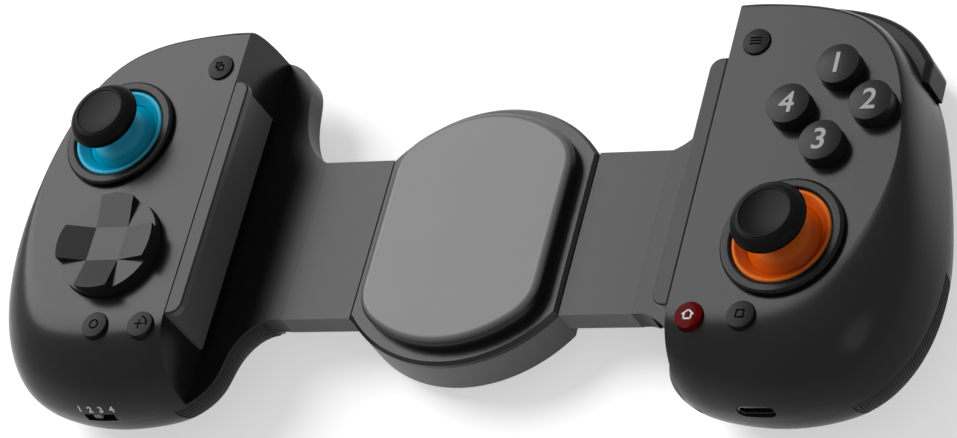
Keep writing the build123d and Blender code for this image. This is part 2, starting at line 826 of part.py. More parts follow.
def button_membrane():
    """Soft sheet with a dome under each face button."""
    sheet = fillet(Rectangle(2 * membrane_half, 2 * membrane_half).vertices(), membrane_corner)
    sheet = Rot(0, 0, 45) * extrude(sheet, membrane_thickness)
    sheet = Pos(cluster_place[0], cluster_place[1], board_top) * sheet
    return sheet + collars([button_place(name) for name in button_turns], button_stem_radius)


# Switch, socket and battery

def switch_slot_cut():
    """Slot for the mode switch, open at the parting line."""
    x = slot_centre[0]
    half = switch_slot / 2
    y_span = (slot_centre[1] - overrun, slot_centre[1] + rear_wall + wall)
    return block((x - half, x + half), y_span, (-overrun, switch_slot_height))


def switch_origin():
    """The knob's middle at rest, one step in from the slot's end towards the outer side."""
    return slot_centre[0] + switch_slot / 2 - swing_gap / 2 - switch_knob / 2 - switch_step


def mode_switch():
    """Slider with a knob in the slot and a plate behind the casing."""
    x = switch_origin()
    plate_y = slot_centre[1] + wall + rear_wall / 2
    knob_z = (swing_gap, swing_gap + switch_knob_height)
    knob_y = (slot_centre[1] + switch_knob_proud, plate_y)
    knob = block((x - switch_knob / 2, x + switch_knob / 2), knob_y, knob_z)
    knob = fillet(knob.edges().filter_by(Axis.Y), switch_knob_round)
    half = switch_plate / 2
    plate_span = (plate_y, plate_y + switch_plate_thickness)
    return knob + block((x - half, x + half), plate_span, (swing_gap, switch_slot_height + swing_gap))


def switch_jack():
    """Body of the mode switch under the left board."""
    y = slot_centre[1] + wall + rear_wall / 2 + switch_plate_thickness + slide_gap
    half = switch_slot / 2
    x = slot_centre[0]
    return block((x - half, x + half), (y, y + jack_depth), (board_bottom - jack_height, board_bottom))


def stadium(width, height):
    """A flat slot shape with round ends."""
    return SlotOverall(width, height)


def usb_place():
    """Frame of the charging socket, its z axis pointing out of the mouth."""
    return Pos(usb_centre[0], usb_centre[1], usb_z) * Rot(90, 0, 0)


def usb_port():
    """Metal sleeve of the charging socket with its tongue, under the right board."""
    sleeve = extrude(stadium(usb_width, usb_height), -usb_length)
    hollow = extrude(stadium(usb_width - 2 * usb_shell, usb_height - 2 * usb_shell), usb_shell - usb_length)
    tongue = extrude(Rectangle(usb_tongue_width, usb_tongue), usb_shell - usb_length) - extrude(
        Rectangle(usb_tongue_width, usb_tongue), -usb_tongue
    )
    return usb_place() * (sleeve - hollow + tongue)


def usb_cut():
    """Hole for the charging socket in the casing."""
    return usb_place() * extrude(
        stadium(usb_width + 2 * usb_lip, usb_height + 2 * usb_lip), usb_length, both=True
    )


def battery():
    """Flat cell on the floor of the left grip."""
    x = inner_x + battery_inset
    y_span = (-battery_front, battery_length - battery_front)
    low = rear_wall - palm_depth
    return block((x, x + battery_width), y_span, (low, low + battery_height))


# Centre body

def hub_plan(radius, half_width):
    """A disc with two straight sides."""
    return Circle(radius) & Rectangle(2 * half_width, 2 * radius)


centre_screw_places = [
    (x, y) for x in (-centre_screw_x, centre_screw_x) for y in (-centre_screw_y, centre_screw_y)
]


def centre_cover():
    """Lid of the centre body with a chamfered edge and four screw bosses."""
    lid = Pos(0, 0, lid_bottom) * extrude(hub_plan(hub_radius, hub_half_width), lid_thickness)
    lid = chamfer(lid.faces().sort_by(Axis.Z)[-1].edges(), lid_chamfer)
    for place in centre_screw_places:
        lid += rod(place, centre_boss_radius, -centre_boss_split, lid_bottom)
        lid -= rod(place, centre_screw_radius + seat_gap, -centre_boss_split, lid_bottom + lid_thickness / 2)
    return lid


def centre_base():
    """Tub of the centre body: floor, side wall with the arms' slots, rails, posts and bosses."""
    tub = Pos(0, 0, -hub_depth) * extrude(hub_plan(hub_radius, hub_half_width), hub_depth + lid_bottom)
    room = hub_plan(hub_radius - hub_wall, hub_half_width - hub_wall)
    tub -= Pos(0, 0, hub_inside_floor) * extrude(room, hub_depth)
    slot_half = tongue_half_width + slide_gap
    ledge = tongue_bottom - slide_gap
    inside_x = hub_half_width - hub_wall
    for side in (-1, 1):
        rail_y = sorted((side * slot_half, side * (slot_half + rail_thickness)))
        ledge_y = sorted((side * (slot_half - rail_ledge), side * slot_half))
        tub += block((-inside_x, inside_x), rail_y, (hub_inside_floor, lid_bottom))
        tub += block((-inside_x, inside_x), ledge_y, (hub_inside_floor, ledge))
        tub += rod((-side * hub_post_reach, side * spring_offset), post_radius, hub_inside_floor, ledge)
    tub -= block((-overrun, overrun), (-slot_half, slot_half), (ledge, overrun))
    for place in centre_screw_places:
        tub += rod(place, centre_boss_radius, -hub_depth, -centre_boss_split)
        tub -= rod(place, centre_screw_radius + slide_gap, -hub_depth, -centre_boss_split)
        tub -= rod(place, centre_head_radius + slide_gap, -hub_depth, centre_head_height - hub_depth)
    return tub - rod((0, 0), pinion_pin_radius + seat_gap, hub_inside_floor - pin_seat, overrun)


def centre_screws():
    """Four screws that hold the lid."""
    screws = []
    for place in centre_screw_places:
        head_top = centre_head_height - hub_depth
        head = rod(place, centre_head_radius, -hub_depth, head_top)
        screws.append(head + rod(place, centre_screw_radius, head_top, lid_bottom))
    return screws


def phone_pad():
    """Raised pad with rounded corners and a rounded upper edge."""
    pad = Pos(0, 0, hub_proud) * extrude(hub_plan(pad_radius, pad_half_width), pad_height)
    pad = fillet(pad.edges().filter_by(Axis.Z), pad_corner)
    return fillet(pad.faces().sort_by(Axis.Z)[-1].edges(), pad_edge)


# Arms, racks and pinion

tooth_pitch = pi * gear_module


def rack_teeth(start, end):
    """Rack bar along X on the far side of the pinion, with a gap between teeth at x = 0."""
    tip = pitch_radius - tooth_addendum
    root = pitch_radius + tooth_dedendum
    bar = block((start, end), (root, root + rack_back), (gear_top - gear_height, gear_top))
    slope = tan(radians(pressure_angle))
    half = tooth_pitch / 4 - flank_gap
    count = int(max(-start, end) / tooth_pitch) + 1
    for index in range(-count, count):
        x = (index + 1 / 2) * tooth_pitch
        tip_half = half - tooth_addendum * slope
        root_half = half + tooth_dedendum * slope
        if x - root_half < start or x + root_half > end:
            continue
        corners = [(x - root_half, root), (x - tip_half, tip), (x + tip_half, tip), (x + root_half, root)]
        tooth = make_face(Polyline(*corners, corners[0]))
        bar += Pos(0, 0, gear_top - gear_height) * extrude(tooth, gear_height)
    return bar


def sync_pinion():
    """Spur gear with involute flanks that meshes with both racks."""
    base = pitch_radius * cos(radians(pressure_angle))
    tip = pitch_radius + tooth_addendum
    root = pitch_radius - tooth_dedendum
    half_pitch_angle = pi / 2 / pinion_teeth - flank_gap / pitch_radius
    roll = tan(radians(pressure_angle)) - radians(pressure_angle)

    def flank(radius):
        """Half the tooth's angle at a radius."""
        turn = acos(min(base / radius, 1))
        return half_pitch_angle + roll - (tan(turn) - turn)

    def point(radius, angle):
        """A point at a radius, an angle off the tooth's middle on +Y."""
        return radius * sin(angle), radius * cos(angle)

    steps = [base, (base + pitch_radius) / 2, pitch_radius, tip]
    left = [point(radius, -flank(radius)) for radius in steps]
    right = [point(radius, flank(radius)) for radius in reversed(steps)]
    foot_left = point(root - tooth_addendum, -flank(base))
    foot_right = point(root - tooth_addendum, flank(base))
    edge = Line(foot_left, left[0]) + Spline(*left)
    edge += Polyline(left[-1], right[0]) + Spline(*right) + Polyline(right[-1], foot_right, foot_left)
    tooth = extrude(make_face(edge), gear_height)
    gear = rod((0, 0), root, 0, gear_height)
    for index in range(pinion_teeth):
        gear += Rot(0, 0, 360 * index / pinion_teeth) * tooth
    gear -= rod((0, 0), pinion_pin_radius + pin_gap, 0, gear_height)
    return Pos(0, 0, gear_top - gear_height) * gear


def pinion_pin():
    """Pin in the floor of the centre body."""
    return rod((0, 0), pinion_pin_radius, hub_inside_floor - pin_seat, gear_top)


def arm():
    """Right arm: insert, visible plate, tongue, rack and spring post in one piece."""
    plate = block(
        (hub_half_width + swing_gap, seam_x), (-arm_half_width, arm_half_width), (-arm_thickness, 0)
    )
    plate = fillet(plate.edges().filter_by(Axis.X).group_by(Axis.Z)[0], arm_edge)
    bar_y = (-tongue_half_width, tongue_half_width)
    bar = block((tongue_inner_end, seam_x + insert_length - seat_gap), bar_y, (tongue_bottom, -tongue_top))
    body = plate + bar
    for place in arm_screw_places():
        body -= rod(place, arm_screw_radius + seat_gap, tongue_bottom, tongue_bottom + arm_screw_reach)
    rack_y = (pitch_radius + tooth_dedendum, pitch_radius + tooth_dedendum + rack_back)
    body += rack_teeth(-stretch - rack_spare, rack_root)
    body += block((tongue_inner_end, rack_root), rack_y, (gear_top - gear_height, tongue_bottom))
    post_place = (arm_post_reach, spring_offset)
    return body + rod(post_place, post_radius, gear_top - gear_height, tongue_bottom)


def return_spring():
    """Right arm's coil, from the centre body's post to the arm's post."""
    start = post_radius + coil_wire + swing_gap - hub_post_reach
    end = arm_post_reach - post_radius - coil_wire - swing_gap
    length = end - start
    path = Helix(length / coil_turns, length, coil_radius)
    wire = sweep(Plane(path @ 0, z_dir=path % 0) * Circle(coil_wire), path=path)
    z = gear_top - gear_height / 2
    return Pos(start, spring_offset, z) * Rot(0, 90, 0) * wire


# Grips put together

patches = grip_patches()

left_minis = {"tabs_button": tabs_shares, "macro_button": macro_shares, "plus_button": plus_shares}
right_minis = {"menu_button": menu_shares, "home_button": home_shares, "mode_button": mode_shares}


def hole(place, radius):
    """Round opening through the face."""
    return rod(place, radius, board_top, face_height + overrun)


def stick_openings(place):
    """Opening for the stick's ring, with the bezel's seat."""
    seat = rod(place, bezel_outer + seat_gap, face_height - bezel_sunk, face_height + overrun)
    return hole(place, bezel_inner) + seat


def mini_places(minis):
    """Centres of the mini buttons of one grip."""
    return [on_grip(shares) for shares in minis.values()]


shared_pieces = {
    "rear_shell": rear_shell(),
    "clamp_jaw": clamp_jaw(),
    "grip_rubber": Compound(patches),
    "grip_screws": Compound(grip_screws()),
    "bumper": bumper(),
    "trigger": trigger(),
    "shoulder_pins": Compound(shoulder_pins()),
}


def stick_pieces(place):
    """The pieces of a thumbstick."""
    return {
        "stick_bezel": stick_bezel(place),
        "stick_ring": stick_ring(place),
        "stick_module": stick_module(place),
        "stick_gimbal": stick_gimbal(place),
        "stick_stem": stick_stem(place),
        "stick_dome": stick_dome(place),
        "stick_cap": stick_cap(place),
    }


def mini_openings(minis):
    """Holes of the mini buttons, each with the least gap that lets it slide."""
    cuts = Part()
    for place in mini_places(minis):
        cuts += hole(place, mini_radius + slide_gap)
    return cuts


def left_grip():
    """All pieces of the left grip, mirrored from the right-hand side."""
    place = on_grip(left_stick_shares)
    openings = stick_openings(place) + hole(dpad_place, dpad_radius + swing_gap)
    openings += mini_openings(left_minis) + switch_slot_cut()
    pieces = {**shared_pieces, **stick_pieces(place)}
    pieces["front_shell"] = front_shell(mini_places(left_minis), openings)
    pieces["circuit_board"] = circuit_board(mini_places(left_minis), switch_jack())
    named = {"left_" + name: shape for name, shape in pieces.items()}
    named["dpad"] = dpad()
    named["dpad_ball"] = dpad_ball()
    named["dpad_post"] = dpad_post()
    named["dpad_membrane"] = dpad_membrane()
    named["mode_switch"] = mode_switch()
    named["battery"] = battery()
    for name, shares in left_minis.items():
        named[name] = mini_button(on_grip(shares))
    return {name: mirror(shape, Plane.YZ) for name, shape in named.items()}


def right_grip():
    """All pieces of the right grip."""
    place = on_grip(right_stick_shares)
    openings = stick_openings(place) + mini_openings(right_minis) + usb_cut()
    for name in button_turns:
        openings += hole(button_place(name), button_radius + slide_gap)
        openings += rod(button_place(name), button_radius + button_flange + slide_gap, board_top, face_under)
    pieces = {**shared_pieces, **stick_pieces(place)}
    pieces["front_shell"] = front_shell(mini_places(right_minis), openings)
    pieces["circuit_board"] = circuit_board(mini_places(right_minis), Part())
    named = {"right_" + name: shape for name, shape in pieces.items()}
    for name in button_turns:
        named[name] = face_button(name)
    named["button_membrane"] = button_membrane()
    named["usb_port"] = usb_port()
    for name, shares in right_minis.items():
        named[name] = mini_button(on_grip(shares))
    return named


def centre():
    """The centre body, and both arms with their springs."""
    half_turn = Rot(0, 0, 180)
    return {
        "centre_cover": centre_cover(),
        "centre_base": centre_base(),
        "phone_pad": phone_pad(),
        "sync_pinion": sync_pinion(),
        "pinion_pin": pinion_pin(),
        "centre_screws": Compound(centre_screws()),
        "right_arm": arm(),
        "left_arm": half_turn * arm(),
        "right_return_spring": return_spring(),
        "left_return_spring": half_turn * return_spring(),
    }


pieces = {**centre(), **left_grip(), **right_grip()}
far_reach = pieces["right_trigger"].bounding_box().max.Y
to_base = Pos(0, (front_reach - far_reach) / 2, palm_depth)

os.makedirs("parts", exist_ok=True)
for name, shape in pieces.items():
    export_step(to_base * shape, f"parts/{name}.step")
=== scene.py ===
"""Dresses a telescopic game controller, which clamps a phone between two grips, for rendering.

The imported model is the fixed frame. Blender's lengths are metres, and a length written in
millimetres is multiplied by MM. +X is to the player's right, +Y away from the player and +Z out
of the face.
"""

import json
import logging
import math
from dataclasses import dataclass, field
from enum import Enum
from typing import Sequence

import bmesh
import bpy
from mathutils import Matrix, Vector
from mathutils.bvhtree import BVHTree

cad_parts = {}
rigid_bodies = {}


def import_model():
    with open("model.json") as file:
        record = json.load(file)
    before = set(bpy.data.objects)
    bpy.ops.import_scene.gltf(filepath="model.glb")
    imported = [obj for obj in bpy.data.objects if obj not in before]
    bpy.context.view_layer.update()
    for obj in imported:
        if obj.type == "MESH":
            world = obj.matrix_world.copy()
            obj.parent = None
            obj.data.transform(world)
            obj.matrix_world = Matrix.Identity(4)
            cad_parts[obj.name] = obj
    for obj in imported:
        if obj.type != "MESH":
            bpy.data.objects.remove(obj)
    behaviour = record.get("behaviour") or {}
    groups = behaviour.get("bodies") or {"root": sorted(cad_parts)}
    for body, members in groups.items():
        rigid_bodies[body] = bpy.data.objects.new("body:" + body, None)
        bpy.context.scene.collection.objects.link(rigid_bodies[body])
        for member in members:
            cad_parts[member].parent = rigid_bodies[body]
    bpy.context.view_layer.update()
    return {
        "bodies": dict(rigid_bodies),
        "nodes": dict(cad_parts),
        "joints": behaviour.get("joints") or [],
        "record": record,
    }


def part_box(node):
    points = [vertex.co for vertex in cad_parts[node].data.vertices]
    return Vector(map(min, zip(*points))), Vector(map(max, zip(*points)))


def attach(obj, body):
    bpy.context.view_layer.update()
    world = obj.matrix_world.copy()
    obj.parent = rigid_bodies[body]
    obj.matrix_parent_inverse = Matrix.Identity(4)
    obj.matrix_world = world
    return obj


MM = 0.001
NOISE_LOW, NOISE_HIGH = 0.3, 0.7  # The range that most of a noise's values lie in
OCTAVES = 3
CLOUDS_PER_METRE = 70
BEVEL_SAMPLES = 4
ROUND_STEPS = 6  # Straight pieces in the half circle at a stroke's end
NUMERAL_STEPS = 6  # Straight pieces in each curve of a numeral
ARC_STEPS = 20  # Straight pieces in an arc of a pictogram
SAME_PLACE = 0.01 * MM  # Points closer than this count as one
MIX_FACTOR, MIX_FIRST, MIX_SECOND, MIX_RESULT = 0, 6, 7, 2  # A colour mix node's sockets
UP = (0, 0, 1)
WHITE = (1, 1, 1, 1)
Triple = tuple[float, float, float]
Colour = Triple
Point = tuple[float, float]
log = logging.getLogger("controller")


class Side(Enum):
    """One of the two grips."""

    LEFT = "left"
    RIGHT = "right"

    @property
    def body(self) -> str:
        """Name of the grip's body."""
        return f"{self.value}_grip"

    @property
    def sign(self) -> int:
        """Direction along X in which the grip lies."""
        return 1 if self is Side.RIGHT else -1

    def node(self, piece: str) -> str:
        """Name of this side's node of a piece that both grips have."""
        return f"{self.value}_{piece}"


class Glyph(Enum):
    """Plain pictograms of the small buttons."""

    PANES = "panes"
    RING = "ring"
    PLUS = "plus"
    BARS = "bars"
    SQUARE = "square"
    HOUSE = "house"


# Finishes


class NodeSheet:
    """Adds nodes to a material and links them."""

    def __init__(self, name: str) -> None:
        """Start a material with its output, its shader and a node for coordinates.

        Args:
            name: The material's name.
        """
        self.material = bpy.data.materials.new(name)
        self.material.use_nodes = True
        self.nodes = self.material.node_tree.nodes
        self.links = self.material.node_tree.links
        self.shader = self.nodes["Principled BSDF"]
        self.place = self.add("ShaderNodeTexCoord")

    def add(self, kind: str, **settings: object) -> bpy.types.Node:
        """Add a node.

        Args:
            kind: Blender's name of the node type.
            **settings: Attributes of the node.

        Returns:
            The new node.
        """
        node = self.nodes.new(kind)
        for key, value in settings.items():
            setattr(node, key, value)
        return node

    def link(self, source: bpy.types.NodeSocket, target: bpy.types.NodeSocket) -> None:
        """Link two sockets."""
        self.links.new(source, target)

    def noise(self, scale: float, detail: float,
              stretch: Triple = (1, 1, 1)) -> bpy.types.NodeSocket:
        """Add a noise in the object's own metres.

        Args:
            scale: Grains per metre.
            detail: Octaves of finer noise.
            stretch: Factors along X, Y and Z, for grain that runs one way.

        Returns:
            The noise's value socket.
        """
        mapping = self.add("ShaderNodeMapping")
        mapping.inputs["Scale"].default_value = stretch
        self.link(self.place.outputs["Object"], mapping.inputs["Vector"])
        noise = self.add("ShaderNodeTexNoise")
        noise.inputs["Scale"].default_value = scale
        noise.inputs["Detail"].default_value = detail
        self.link(mapping.outputs["Vector"], noise.inputs["Vector"])
        return noise.outputs["Fac"]

    def spread(self, source: bpy.types.NodeSocket, low: float, high: float) -> bpy.types.NodeSocket:
        """Map a noise value from its usual middle range to another range.

        Args:
            source: The noise's value socket.
            low: Result at the noise's low end.
            high: Result at its high end.

        Returns:
            The mapped value socket.
        """
        node = self.add("ShaderNodeMapRange")
        node.inputs["From Min"].default_value = NOISE_LOW
        node.inputs["From Max"].default_value = NOISE_HIGH
        node.inputs["To Min"].default_value = low
        node.inputs["To Max"].default_value = high
        self.link(source, node.inputs["Value"])
        return node.outputs["Result"]

    def rise(self, coordinate: str, low: float, high: float) -> bpy.types.NodeSocket:
        """Add a smooth step over the Z part of a coordinate.

        Args:
            coordinate: "Normal" or "Object".
            low: Z at which the step starts.
            high: Z at which it ends.

        Returns:
            A socket that goes from 0 to 1.
        """
        split = self.add("ShaderNodeSeparateXYZ")
        self.link(self.place.outputs[coordinate], split.inputs["Vector"])
        ramp = self.add("ShaderNodeMapRange", interpolation_type="SMOOTHSTEP")
        ramp.inputs["From Min"].default_value = low
        ramp.inputs["From Max"].default_value = high
        self.link(split.outputs["Z"], ramp.inputs["Value"])
        return ramp.outputs["Result"]

    def mix(self, factor: bpy.types.NodeSocket, first: Colour | bpy.types.NodeSocket,
            second: Colour | bpy.types.NodeSocket) -> bpy.types.NodeSocket:
        """Mix two colours, each a colour or a socket.

        Args:
            factor: Socket with the second colour's share.
            first: Colour or socket at factor 0.
            second: Colour or socket at factor 1.

        Returns:
            The mixed colour socket.
        """
        node = self.add("ShaderNodeMix", data_type="RGBA")
        self.link(factor, node.inputs[MIX_FACTOR])
        for value, index in ((first, MIX_FIRST), (second, MIX_SECOND)):
            if isinstance(value, tuple):
                node.inputs[index].default_value = (*value, 1)
            else:
                self.link(value, node.inputs[index])
        return node.outputs[MIX_RESULT]


@dataclass(frozen=True)
class Finish:
    """A moulded or metal surface with its own grain, sheen and small changes of colour.

    Where the painted side shading is set, faces that lean away from straight up take that colour: a
    paler one is a painted reflection and a darker one painted shade. Their normal's Z goes from
    the high limit, all top, to the low limit, all side.
    """

    name: str
    colour: Colour
    roughness: float = 0.42
    roughness_spread: float = 0.06
    tone_spread: float = 0.08
    grain: float = 0.3 * MM
    grain_depth: float = 0.004 * MM
    stretch: Triple = (1, 1, 1)
    specular: float = 0.5
    coat: float = 0.0
    coat_roughness: float = 0.08
    metallic: float = 0.0
    edge: float = 0.0
    painted_side_shading: Colour | None = None
    painted_shading_low: float = 0.5
    painted_shading_high: float = 0.95

    def build(self) -> bpy.types.Material:
        """Make the material.

        Returns:
            The node material.
        """
        sheet = NodeSheet(self.name)
        shader = sheet.shader
        shader.inputs["Metallic"].default_value = self.metallic
        shader.inputs["Specular IOR Level"].default_value = self.specular
        shader.inputs["Coat Weight"].default_value = self.coat
        shader.inputs["Coat Roughness"].default_value = self.coat_roughness
        sheet.link(self.tone(sheet), shader.inputs["Base Color"])
        grain = sheet.noise(1 / self.grain, OCTAVES, self.stretch)
        low = self.roughness - self.roughness_spread
        high = self.roughness + self.roughness_spread
        sheet.link(sheet.spread(grain, low, high), shader.inputs["Roughness"])
        bump = sheet.add("ShaderNodeBump")
        bump.inputs["Distance"].default_value = self.grain_depth
        sheet.link(grain, bump.inputs["Height"])
        if self.edge:
            bevel = sheet.add("ShaderNodeBevel", samples=BEVEL_SAMPLES)
            bevel.inputs["Radius"].default_value = self.edge
            sheet.link(bevel.outputs["Normal"], bump.inputs["Normal"])
        sheet.link(bump.outputs["Normal"], shader.inputs["Normal"])
        return sheet.material

    def tone(self, sheet: NodeSheet) -> bpy.types.NodeSocket:
        """Add the colour with its small changes, and the painted side shading where there is one.

        Args:
            sheet: The material's nodes.

        Returns:
            The colour socket.
        """
        clouds = sheet.spread(sheet.noise(CLOUDS_PER_METRE, OCTAVES), 0, 1)
        darker = tuple(value * (1 - self.tone_spread) for value in self.colour)
        tone = sheet.mix(clouds, darker, self.colour)
        if self.painted_side_shading is None:
            return tone
        # Painted light and shade: sides take a paler or darker colour by how far the normal leans
        # from up
        upright = sheet.rise("Normal", self.painted_shading_low, self.painted_shading_high)
        return sheet.mix(upright, self.painted_side_shading, tone)


@dataclass(frozen=True)
class SatinFinish(Finish):
    """Fine satin plastic or rubber, even enough to mirror a large soft light."""

    roughness_spread: float = 0.02
    grain_depth: float = 0.0004 * MM


@dataclass(frozen=True)
class TintedFinish(Finish):
    """Tinted plastic of the thumbstick rings and domes, paler towards the ring's upper rim as a
    painted highlight.
    """

    grain_depth: float = 0.0005 * MM
    rim_highlight_colour: Colour = (1, 1, 1)
    rim_highlight_low: float = 35.6 * MM
    rim_highlight_high: float = 36.4 * MM

    def tone(self, sheet: NodeSheet) -> bpy.types.NodeSocket:
        """Add the colour, paler towards the rim as a painted highlight.

        Args:
            sheet: The material's nodes.

        Returns:
            The colour socket.
        """
        # Painted highlight: the colour turns paler up the ring's rim
        rim = sheet.rise("Object", self.rim_highlight_low, self.rim_highlight_high)
        return sheet.mix(rim, super().tone(sheet), self.rim_highlight_colour)


@dataclass(frozen=True)
class BoardFinish(Finish):
    """Circuit board: solder mask with paler tracks.

    The tracks follow the lines of a net, and fade out between track_inner and track_outer, which
    are shares of the net's cell.
    """

    track_colour: Colour = (0.04, 0.2, 0.09)
    tracks_per_metre: float = 350
    track_inner: float = 0.02
    track_outer: float = 0.06

    def tone(self, sheet: NodeSheet) -> bpy.types.NodeSocket:
        """Add the mask's colour with a net of tracks.

        Args:
            sheet: The material's nodes.

        Returns:
            The colour socket.
        """
        net = sheet.add("ShaderNodeTexVoronoi", feature="DISTANCE_TO_EDGE", distance="MANHATTAN")
        net.inputs["Scale"].default_value = self.tracks_per_metre
        sheet.link(sheet.place.outputs["Object"], net.inputs["Vector"])
        edge = sheet.add("ShaderNodeMapRange")
        edge.inputs["From Min"].default_value = self.track_inner
        edge.inputs["From Max"].default_value = self.track_outer
        sheet.link(net.outputs["Distance"], edge.inputs["Value"])
        return sheet.mix(edge.outputs["Result"], self.track_colour, self.colour)


FINISHES: tuple[Finish, ...] = (
    SatinFinish("casing_grey", (0.01, 0.01, 0.0102), roughness=0.24, specular=0.14),
    SatinFinish("casing_black", (0.006, 0.006, 0.006), roughness=0.3, specular=0.165),
    # arm_grey and jaw_rubber: their paler sides are a painted reflection of the surroundings
    SatinFinish("arm_grey", (0.016, 0.016, 0.0162), roughness=0.3, specular=0.16,
                painted_side_shading=(0.13, 0.13, 0.131), painted_shading_low=0.1, painted_shading_high=0.5),
    SatinFinish("jaw_rubber", (0.016, 0.016, 0.0162), roughness=0.32, specular=0.14,
                grain=0.22 * MM, painted_side_shading=(0.11, 0.11, 0.11), painted_shading_low=0.1, painted_shading_high=0.5),
    Finish("bezel_black", (0.004, 0.004, 0.004), roughness=0.25, specular=0.1,
           grain_depth=0.0004 * MM),
    Finish("inner_black", (0.02, 0.02, 0.02), roughness=0.55, specular=0.2),
    Finish("inner_white", (0.72, 0.7, 0.66), roughness=0.5),
    Finish("cap_rubber", (0.005, 0.005, 0.005), roughness=0.28, specular=0.035, grain=0.18 * MM,
           grain_depth=0.0004 * MM),
    BoardFinish("board_green", (0.012, 0.09, 0.035), roughness=0.35),
    Finish("grip_rubber", (0.012, 0.012, 0.012), roughness=0.6, specular=0.2, grain=0.15 * MM),
    Finish("screw_steel", (0.09, 0.09, 0.095), roughness=0.35, metallic=1.0, edge=0.1 * MM),
    Finish("pin_steel", (0.55, 0.55, 0.57), roughness=0.25, metallic=1.0, stretch=(1, 1, 8)),
    Finish("spring_steel", (0.6, 0.6, 0.6), roughness=0.28, metallic=1.0),
    SatinFinish("shoulder_black", (0.012, 0.012, 0.012), roughness=0.28, specular=0.09,
                edge=0.2 * MM),
    SatinFinish("centre_black", (0.016, 0.016, 0.0162), roughness=0.28, specular=0.17),
    # Paler copy of the black plastic for the centre's tub: its grey is a painted reflection
    SatinFinish("hub_side_painted_reflection", (0.15, 0.15, 0.152), roughness=0.4, specular=0.15),
    # pad_rubber: its near-black sides are painted shade
    SatinFinish("pad_rubber", (0.12, 0.12, 0.121), roughness=0.32, specular=0.22, grain=0.2 * MM,
                tone_spread=0.05, painted_side_shading=(0.008, 0.008, 0.008), painted_shading_low=0.45,
                painted_shading_high=0.97),
    TintedFinish("ring_blue", (0.0, 0.31, 0.48), roughness=0.2, specular=0.0, coat=0.08,
                 rim_highlight_colour=(0.05, 0.45, 0.66)),
    TintedFinish("ring_orange", (0.6, 0.085, 0.004), roughness=0.2, specular=0.0, coat=0.08,
                 rim_highlight_colour=(0.7, 0.15, 0.02)),
    SatinFinish("dpad_black", (0.016, 0.016, 0.0162), roughness=0.22, specular=0.125),
    Finish("membrane_silicone", (0.45, 0.45, 0.44), roughness=0.5),
    SatinFinish("mini_grey", (0.012, 0.012, 0.012), roughness=0.3, specular=0.05,
                edge=0.15 * MM),
    Finish("mini_red", (0.1, 0.001, 0.002), roughness=0.2, specular=0.0, coat=0.03, edge=0.15 * MM),
    Finish("switch_grey", (0.12, 0.12, 0.12), roughness=0.4, specular=0.3, edge=0.15 * MM),
    Finish("cell_wrap", (0.35, 0.36, 0.38), roughness=0.3, metallic=0.6),
    Finish("port_steel", (0.12, 0.12, 0.125), roughness=0.25, metallic=1.0, edge=0.08 * MM),
    SatinFinish("button_black", (0.014, 0.014, 0.014), roughness=0.3, specular=0.085,
                edge=0.2 * MM),
    Finish("print_pale", (0.38, 0.38, 0.38), roughness=0.5, specular=0.1, grain=0.1 * MM),
    Finish("print_white", (0.75, 0.75, 0.75), roughness=0.5, specular=0.2, grain=0.1 * MM),
    # Dark print of the small buttons' pictograms, and painted shade of the screws' cross recesses
    Finish("dark_print_and_shade", (0.003, 0.003, 0.003), roughness=0.6, specular=0.0, grain=0.1 * MM),
    Finish("contact_gold", (0.7, 0.45, 0.15), roughness=0.3, metallic=1.0),
)


class Paint:
    """Holds the made materials and gives them to CAD nodes and new pieces."""

    def __init__(self, frame: dict) -> None:
        """Make every finish. A node wears its slot's finish, apart from the centre's tub, which
        wears a paler copy of black plastic whose grey is a painted reflection.
        """
        self.frame = frame
        self.made = {finish.name: finish.build() for finish in FINISHES}
        self.slots = {row["node"]: row["material_slot"] for row in frame["record"]["subparts"]}
        self.finishes = dict(self.slots, centre_base="hub_side_painted_reflection")

    def dress(self, node: str) -> None:
        """Give a CAD node its finish.

        Args:
            node: The node's name.
        """
        data = self.frame["nodes"][node].data
        material = self.made[self.finishes[node]]
        if not data.materials:
            data.materials.append(material)
        for index in range(len(data.materials)):
            data.materials[index] = material

    def piece(self, name: str, mesh: bpy.types.Mesh, finish: str, slot: str, body: str) -> None:
        """Make a new piece that rides on a body.

        Args:
            name: The piece's name.
            mesh: Its mesh, in the frame.
            finish: Name of its finish.
            slot: The record's slot that it goes with; not used.
            body: The body that it rides on.
        """
        mesh.materials.clear()
        mesh.materials.append(self.made[finish])
        thing = bpy.data.objects.new(name, mesh)
        bpy.context.scene.collection.objects.link(thing)
        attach(thing, body)
        log.info("piece %s on %s, %d faces", name, body, len(mesh.polygons))


# Meshes


def mesh_from(bm: bmesh.types.BMesh, name: str) -> bpy.types.Mesh:
    """Turn a bmesh into a mesh with flat faces.

    Args:
        bm: The bmesh, which is freed.
        name: The mesh's name.

    Returns:
        The mesh.
    """
    bmesh.ops.recalc_face_normals(bm, faces=bm.faces[:])
    mesh = bpy.data.meshes.new(name)
    bm.to_mesh(mesh)
    bm.free()
    return mesh


def surface_of(node: bpy.types.Object) -> BVHTree:
    """Make a tree of a CAD node's faces, for finding points on its surface.

    Args:
        node: The node, whose vertices are in the frame.

    Returns:
        The tree.
    """
    points = [vertex.co.copy() for vertex in node.data.vertices]
    return BVHTree.FromPolygons(points, [list(face.vertices) for face in node.data.polygons])


def middle_of(values: Sequence[float]) -> float:
    """Middle between the least and the greatest value."""
    return (min(values) + max(values)) / 2


def loft(bm: bmesh.types.BMesh, rings: Sequence[Sequence[bmesh.types.BMVert]]) -> None:
    """Close a solid around rings of points: walls from each ring to the next, and both ends.

    Args:
        bm: The bmesh that holds the points.
        rings: Two or more rings of as many points each, all in the same turning direction.
    """
    for first, second in zip(rings, rings[1:]):
        for index in range(len(first)):
            after = (index + 1) % len(first)
            bm.faces.new((first[index], first[after], second[after], second[index]))
    bm.faces.new(rings[0][::-1])
    bm.faces.new(rings[-1])


